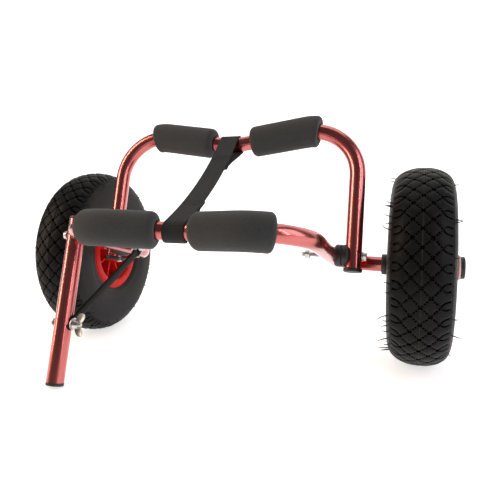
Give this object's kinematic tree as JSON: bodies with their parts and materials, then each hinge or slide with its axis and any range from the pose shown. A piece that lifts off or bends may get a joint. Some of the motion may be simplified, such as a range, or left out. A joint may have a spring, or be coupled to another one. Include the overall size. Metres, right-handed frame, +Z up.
{
  "type": "kayak cart",
  "caption": "Two-wheel folding kayak cart: hinged bent-tube cradle with foam pads and a webbing strap, a swing-down stand and pneumatic tyres.",
  "frame": {"origin": "on the ground, under the middle of the cart's bounding box", "axes": "+X along the axle to the side away from the stand, +Y towards the back, +Z up; the low padded bar is at the front, -Y"},
  "size_m": [0.6112, 0.3898, 0.3313],
  "materials": {
    "anodised_tube": "bright dip, copper-red anodised",
    "foam": "closed-cell foam, matt",
    "webbing": "ribbed nylon webbing",
    "zinc_steel": "zinc plated",
    "black_steel": "black coated",
    "black_plastic": "moulded, fine satin",
    "nylon": "natural nylon",
    "rim_plastic": "moulded, half gloss",
    "tyre_rubber": "moulded, half matt",
    "tube_rubber": "smooth butyl"
  },
  "bodies": {
    "axle_frame": {"axle_frame_tube": "anodised_tube", "near_pad_left": "foam", "near_pad_right": "foam", "pivot_bolt_left": "zinc_steel", "pivot_bolt_right": "zinc_steel", "pivot_washer_left": "zinc_steel", "pivot_washer_right": "zinc_steel", "near_saddle_left": "black_plastic", "near_saddle_right": "black_plastic", "pivot_nut_right": "zinc_steel", "wing_nut_washer_left": "zinc_steel", "stand_bolt": "zinc_steel", "stand_bolt_washer": "zinc_steel", "stand_spacer_washer": "zinc_steel", "stand_bolt_nut": "zinc_steel", "axle_collar_left": "black_plastic", "axle_collar_right": "black_plastic", "axle_cap_left": "black_plastic", "axle_cap_right": "black_plastic", "strap": "webbing"},
    "cradle": {"cradle_frame_tube": "anodised_tube", "far_pad_left": "foam", "far_pad_right": "foam", "far_saddle_left": "black_plastic", "far_saddle_right": "black_plastic", "leg_cap_left": "black_plastic", "leg_cap_right": "black_plastic"},
    "stand": {"stand_tube": "anodised_tube", "stand_top_cap": "black_plastic", "stand_foot": "black_plastic", "brace_bolt": "zinc_steel", "brace_washer": "zinc_steel"},
    "stay": {"stay_strip": "black_steel", "stay_bracket": "zinc_steel"},
    "pivot_wing_nut": {"pivot_wing_nut_left": "zinc_steel"},
    "brace_wing_nut": {"brace_wing_nut": "zinc_steel"},
    "wheel_left": {"tyre_left": "tyre_rubber", "inner_tube_left": "tube_rubber", "rim_left": "rim_plastic", "bushing_outer_left": "nylon", "bushing_inner_left": "nylon", "valve_stem_left": "tube_rubber", "valve_cap_left": "black_plastic"},
    "wheel_right": {"tyre_right": "tyre_rubber", "inner_tube_right": "tube_rubber", "rim_right": "rim_plastic", "bushing_outer_right": "nylon", "bushing_inner_right": "nylon", "valve_stem_right": "tube_rubber", "valve_cap_right": "black_plastic"}
  },
  "joints": [
    {"name": "cradle_fold", "type": "hinge", "parent": "axle_frame", "child": "cradle", "pos_m": [0, -0.01065, 0.1531], "axis": [1, 0, 0], "range_deg": [0, 66], "deforming": ["strap"]},
    {"name": "stand_swing", "type": "hinge", "parent": "axle_frame", "child": "stand", "pos_m": [-0.1695, -0.10475, 0.18187], "axis": [1, 0, 0], "range_deg": [-88, 0]},
    {"name": "stay_swing", "type": "hinge", "parent": "axle_frame", "child": "stay", "pos_m": [-0.132, -0.01065, 0.1531], "axis": [1, 0, 0], "range_deg": [0, 34]},
    {"name": "pivot_wing_nut_turn", "type": "hinge", "parent": "axle_frame", "child": "pivot_wing_nut", "pos_m": [-0.125, -0.01065, 0.1531], "axis": [1, 0, 0], "continuous": true},
    {"name": "brace_wing_nut_turn", "type": "hinge", "parent": "stand", "child": "brace_wing_nut", "pos_m": [-0.15, -0.14152, 0.07449], "axis": [1, 0, 0], "continuous": true},
    {"name": "wheel_spin_left", "type": "hinge", "parent": "axle_frame", "child": "wheel_left", "pos_m": [-0.252, 0.0649, 0.13], "axis": [1, 0, 0], "continuous": true},
    {"name": "wheel_spin_right", "type": "hinge", "parent": "axle_frame", "child": "wheel_right", "pos_m": [0.252, 0.0649, 0.13], "axis": [1, 0, 0], "continuous": true}
  ],
  "couplings": [
    {"joint": "stay_swing", "follows": "stand_swing", "ratio": -0.386}
  ]
}
